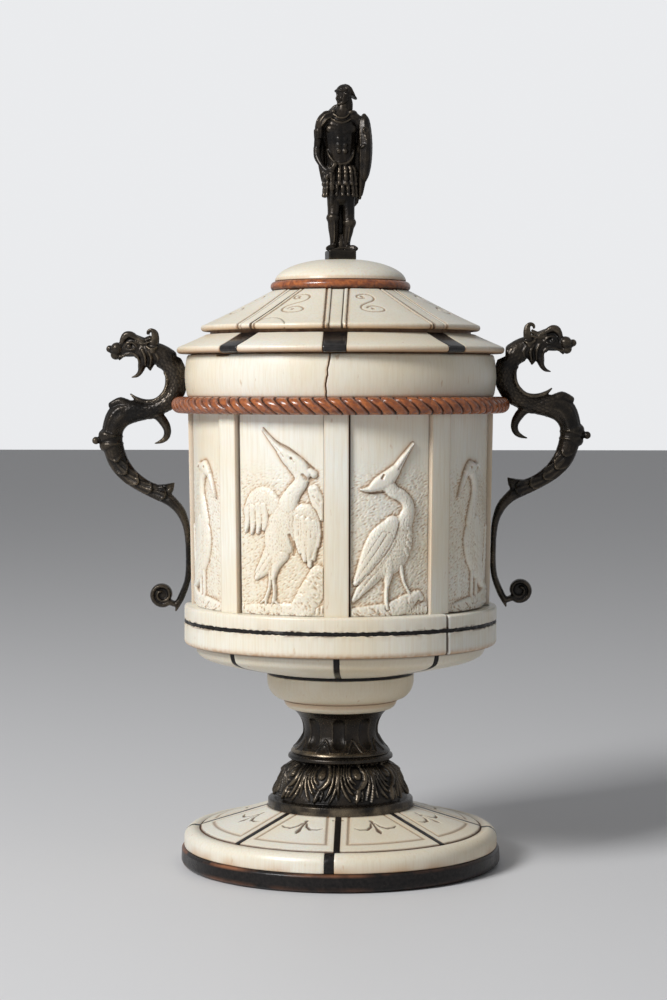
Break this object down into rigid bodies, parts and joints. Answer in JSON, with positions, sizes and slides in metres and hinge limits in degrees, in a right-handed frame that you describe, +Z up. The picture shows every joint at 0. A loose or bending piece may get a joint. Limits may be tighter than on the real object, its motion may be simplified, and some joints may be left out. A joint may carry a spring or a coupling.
{
  "type": "covered cup",
  "caption": "Tall covered cup on a waisted stem and round foot, with carved wall panels, rope moulding, dragon scroll handles and a lift-off lid with a soldier finial.",
  "frame": {"origin": "centre of the base disc's underside, on the table", "axes": "+Z up along the cup's axis, -Y is the front, the handles lie on +X and -X"},
  "size_m": [0.1968, 0.1302, 0.3011],
  "materials": {
    "bone": "polished bone, slightly yellowed, brown in the cuts",
    "ebony": "black stained wood, satin, rubbed brown at the edges",
    "mahogany": "red-brown polished wood",
    "core_wood": "turned wood, oiled",
    "bronze": "dark brown patina, worn to brass on the high edges",
    "iron": "plain threaded iron"
  },
  "bodies": {
    "cup": {"base_disc": "ebony", "foot_rim_keys": "ebony", "foot_fillets": "ebony", "knop_washer": "ebony", "soffit_fillets": "ebony", "band_inlay": "ebony", "foot_core": "core_wood", "cup_core": "core_wood", "cup_floor": "core_wood", "foot_rim_1": "bone", "foot_rim_2": "bone", "foot_rim_3": "bone", "foot_rim_4": "bone", "foot_plate_1": "bone", "foot_plate_2": "bone", "foot_plate_3": "bone", "foot_plate_4": "bone", "foot_plate_5": "bone", "foot_plate_6": "bone", "foot_plate_7": "bone", "foot_plate_8": "bone", "knop": "bone", "soffit_plates": "bone", "base_band_1": "bone", "base_band_2": "bone", "base_band_3": "bone", "relief_panel_1": "bone", "relief_panel_2": "bone", "relief_panel_3": "bone", "relief_panel_4": "bone", "relief_panel_5": "bone", "relief_panel_6": "bone", "relief_panel_7": "bone", "relief_panel_8": "bone", "body_strip_1": "bone", "body_strip_2": "bone", "body_strip_3": "bone", "body_strip_4": "bone", "body_strip_5": "bone", "body_strip_6": "bone", "body_strip_7": "bone", "body_strip_8": "bone", "rim_band": "bone", "stem_foot": "bronze", "stem_neck": "bronze", "handle_left": "bronze", "handle_right": "bronze", "rope_moulding": "mahogany", "tie_rod": "iron", "tie_nuts": "iron"},
    "lid": {"lid_core": "core_wood", "lid_skirt_plates": "bone", "lid_skirt_blocks": "ebony", "lid_roof_plates": "bone", "lid_roof_strips": "bone", "lid_collar": "mahogany", "lid_dome": "bone", "finial_soldier": "bronze", "finial_nut": "iron"}
  },
  "joints": [
    {"name": "lid_lift", "type": "slide", "parent": "cup", "child": "lid", "axis": [0, 0, 1], "range_m": [0, 0.08]}
  ]
}
